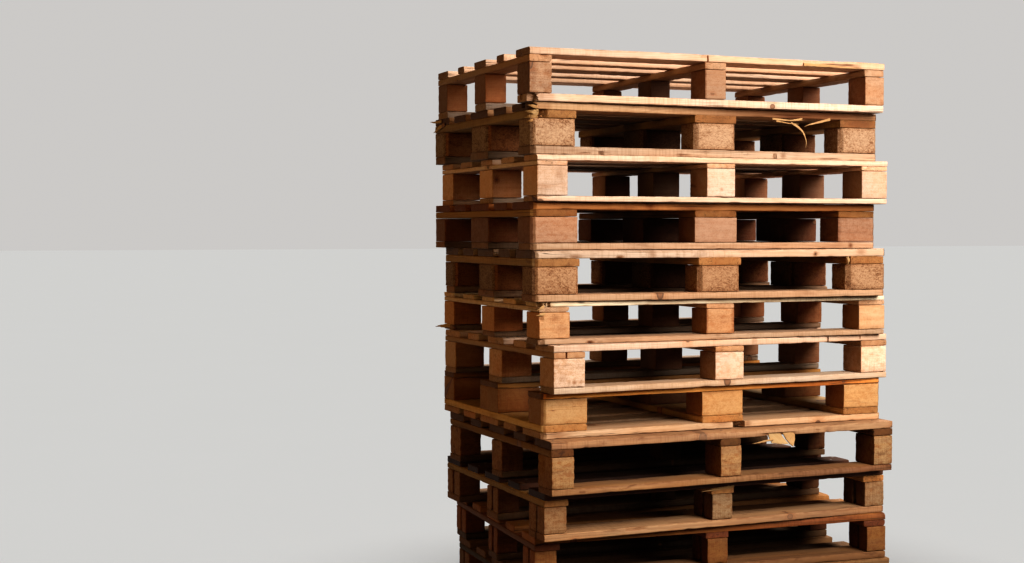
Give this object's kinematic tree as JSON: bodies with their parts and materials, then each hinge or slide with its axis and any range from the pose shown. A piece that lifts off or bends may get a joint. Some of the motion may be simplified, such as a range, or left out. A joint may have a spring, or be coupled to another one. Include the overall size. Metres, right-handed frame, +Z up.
{
  "type": "stack of wooden pallets",
  "caption": "Tall free-standing stack of used flat wooden pallets of mixed make, laid a little askew, with open fork pockets on all four sides.",
  "frame": {"origin": "middle of the stack's footprint box, on the floor", "axes": "+Z up; X along the pallets' long side; Y along their short side, -Y towards the front face seen in the picture"},
  "size_m": [1.3258, 0.9472, 1.7173],
  "materials": {
    "pallet_01_wood": "rough sawn",
    "pallet_02_wood": "rough sawn",
    "pallet_03_wood": "rough sawn",
    "pallet_04_wood": "rough sawn",
    "pallet_05_wood": "rough sawn",
    "pallet_06_wood": "rough sawn",
    "pallet_07_wood": "rough sawn",
    "pallet_08_wood": "rough sawn",
    "pallet_09_wood": "rough sawn",
    "pallet_10_wood": "rough sawn",
    "pallet_11_wood": "rough sawn",
    "pallet_12_wood": "rough sawn"
  },
  "bodies": {
    "root": {"pallet_01_deck_board_1": "pallet_01_wood", "pallet_01_deck_board_2": "pallet_01_wood", "pallet_01_deck_board_3": "pallet_01_wood", "pallet_01_deck_board_4": "pallet_01_wood", "pallet_01_deck_board_5": "pallet_01_wood", "pallet_01_runner_front": "pallet_01_wood", "pallet_01_runner_middle": "pallet_01_wood", "pallet_01_runner_rear": "pallet_01_wood", "pallet_01_stringer_left": "pallet_01_wood", "pallet_01_stringer_middle": "pallet_01_wood", "pallet_01_stringer_right": "pallet_01_wood", "pallet_02_deck": "pallet_02_wood", "pallet_02_runner_front": "pallet_02_wood", "pallet_02_runner_middle": "pallet_02_wood", "pallet_02_runner_rear": "pallet_02_wood", "pallet_03_deck": "pallet_03_wood", "pallet_03_runner_front": "pallet_03_wood", "pallet_03_runner_middle": "pallet_03_wood", "pallet_03_runner_rear": "pallet_03_wood", "pallet_04_deck": "pallet_04_wood", "pallet_04_runner_front": "pallet_04_wood", "pallet_04_runner_middle": "pallet_04_wood", "pallet_04_runner_rear": "pallet_04_wood", "pallet_05_deck": "pallet_05_wood", "pallet_05_runner_front": "pallet_05_wood", "pallet_05_runner_middle": "pallet_05_wood", "pallet_05_runner_rear": "pallet_05_wood", "pallet_06_deck": "pallet_06_wood", "pallet_06_runner_front": "pallet_06_wood", "pallet_06_runner_middle": "pallet_06_wood", "pallet_06_runner_rear": "pallet_06_wood", "pallet_07_deck": "pallet_07_wood", "pallet_07_runner_front": "pallet_07_wood", "pallet_07_runner_middle": "pallet_07_wood", "pallet_07_runner_rear": "pallet_07_wood", "pallet_08_deck": "pallet_08_wood", "pallet_08_runner_front": "pallet_08_wood", "pallet_08_runner_middle": "pallet_08_wood", "pallet_08_runner_rear": "pallet_08_wood", "pallet_09_deck": "pallet_09_wood", "pallet_09_runner_front": "pallet_09_wood", "pallet_09_runner_middle": "pallet_09_wood", "pallet_09_runner_rear": "pallet_09_wood", "pallet_10_deck": "pallet_10_wood", "pallet_10_runner_front": "pallet_10_wood", "pallet_10_runner_middle": "pallet_10_wood", "pallet_10_runner_rear": "pallet_10_wood", "pallet_11_deck": "pallet_11_wood", "pallet_11_runner_front": "pallet_11_wood", "pallet_11_runner_middle": "pallet_11_wood", "pallet_11_runner_rear": "pallet_11_wood", "pallet_12_deck": "pallet_12_wood", "pallet_12_runner_front": "pallet_12_wood", "pallet_12_runner_middle": "pallet_12_wood", "pallet_12_runner_rear": "pallet_12_wood"}
  },
  "joints": []
}
